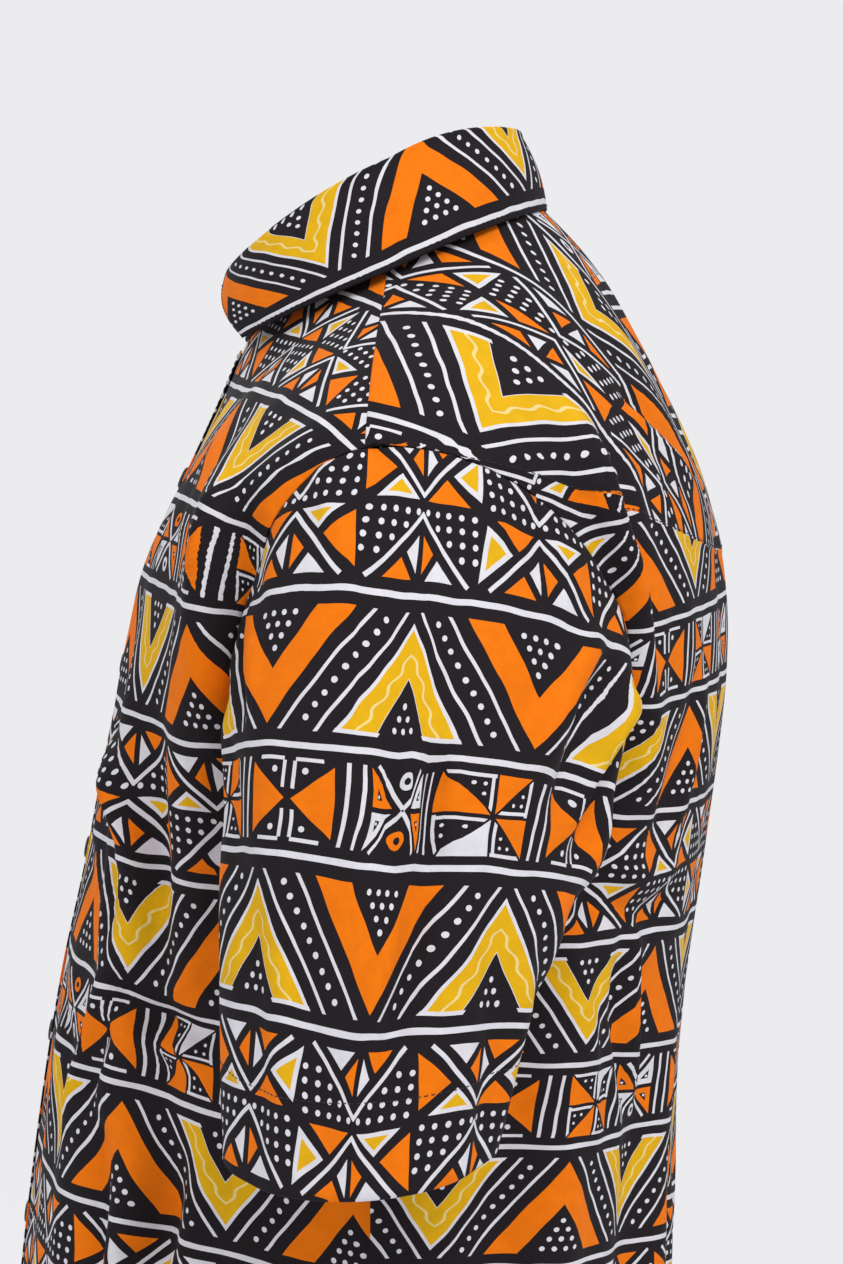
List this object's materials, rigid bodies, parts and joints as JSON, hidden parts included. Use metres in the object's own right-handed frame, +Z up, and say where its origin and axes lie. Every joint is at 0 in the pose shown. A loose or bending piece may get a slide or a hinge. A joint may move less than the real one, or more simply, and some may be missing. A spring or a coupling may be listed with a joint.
{
  "type": "short-sleeved shirt",
  "caption": "Short-sleeved button-up shirt with a turned-down collar, in a banded geometric cotton print, in its worn, hollow form.",
  "frame": {"origin": "middle of the neck opening, level with the tops of the shoulders, where the wearer carries the shirt", "axes": "+Z up, the wearer faces -Y, and +X is to the wearer's left"},
  "size_m": [0.647, 0.3665, 0.8224],
  "materials": {
    "print_cotton": "matt plain-weave cotton, printed in black, white, orange and yellow",
    "button_resin": "satin black"
  },
  "bodies": {
    "root": {"front_left": "print_cotton", "front_right": "print_cotton", "front_band": "print_cotton", "back": "print_cotton", "sleeve_left": "print_cotton", "sleeve_right": "print_cotton", "collar_stand": "print_cotton", "collar_fall": "print_cotton", "button_1": "button_resin", "button_2": "button_resin", "button_3": "button_resin", "button_4": "button_resin", "button_5": "button_resin", "button_6": "button_resin", "button_collar": "button_resin"}
  },
  "joints": []
}
